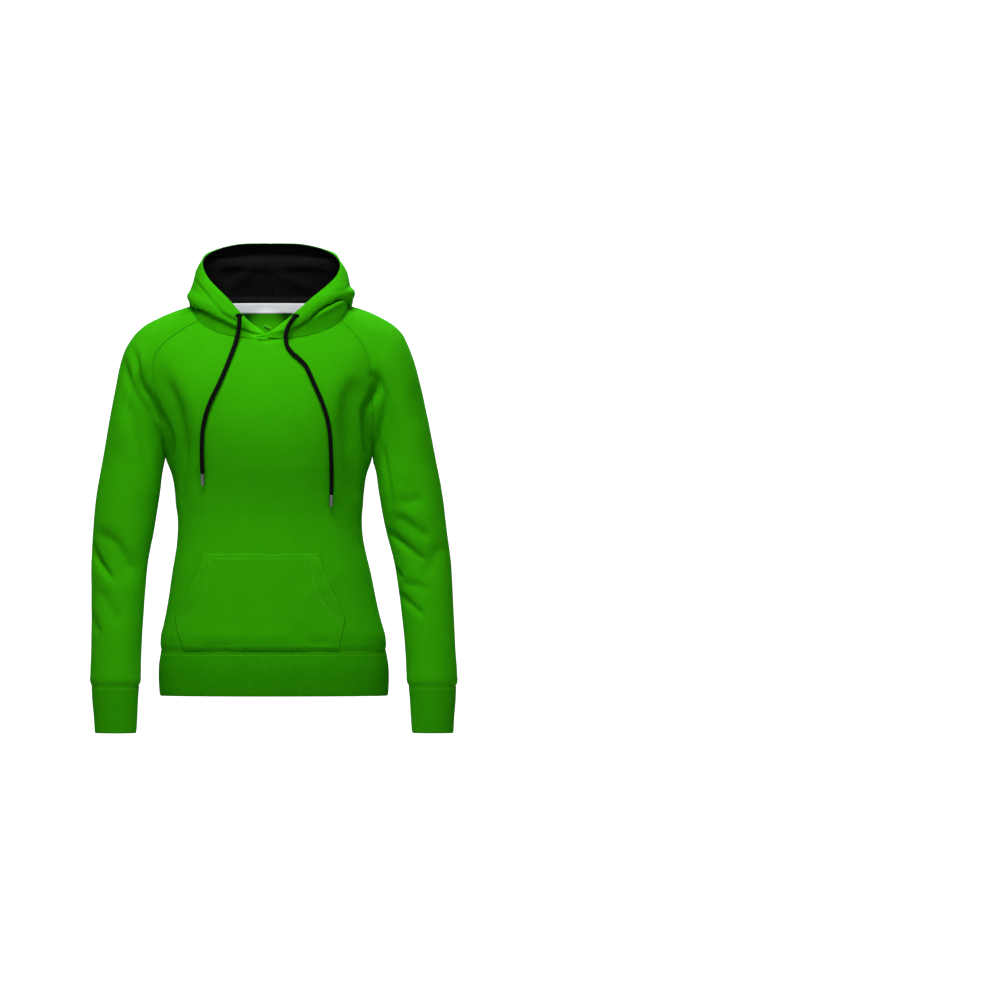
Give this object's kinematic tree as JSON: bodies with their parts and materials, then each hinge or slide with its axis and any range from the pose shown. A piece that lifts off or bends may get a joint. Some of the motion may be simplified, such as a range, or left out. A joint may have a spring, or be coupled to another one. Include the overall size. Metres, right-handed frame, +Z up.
{
  "type": "pullover hoodie",
  "caption": "Vivid green raglan pullover hoodie with a black-lined hood, drawcords, a kangaroo pocket and ribbed hem and cuffs, filled out as if worn, open at neck, cuffs and hem.",
  "frame": {"origin": "inside the neck at the height of the high point of the shoulders, on the garment's middle plane", "axes": "+Z up the garment, -Y out of its front, +X to the wearer's left"},
  "size_m": [0.6038, 0.2611, 0.8101],
  "materials": {
    "green_fleece": "soft matte fleece",
    "green_rib": "matte fine rib knit",
    "black_jersey": "matte jersey knit",
    "white_tape": "woven tape",
    "black_cord": "braided cord",
    "metal_tip": "polished metal"
  },
  "bodies": {
    "root": {"front": "green_fleece", "back": "green_fleece", "sleeve_left": "green_fleece", "sleeve_right": "green_fleece", "hood_left": "green_fleece", "hood_right": "green_fleece", "hood_lining_left": "black_jersey", "hood_lining_right": "black_jersey", "neck_tape": "white_tape", "pocket": "green_fleece", "hem_band": "green_rib", "cuff_left": "green_rib", "cuff_right": "green_rib", "drawcord_left": "black_cord", "drawcord_right": "black_cord", "cord_tip_left": "metal_tip", "cord_tip_right": "metal_tip"}
  },
  "joints": []
}
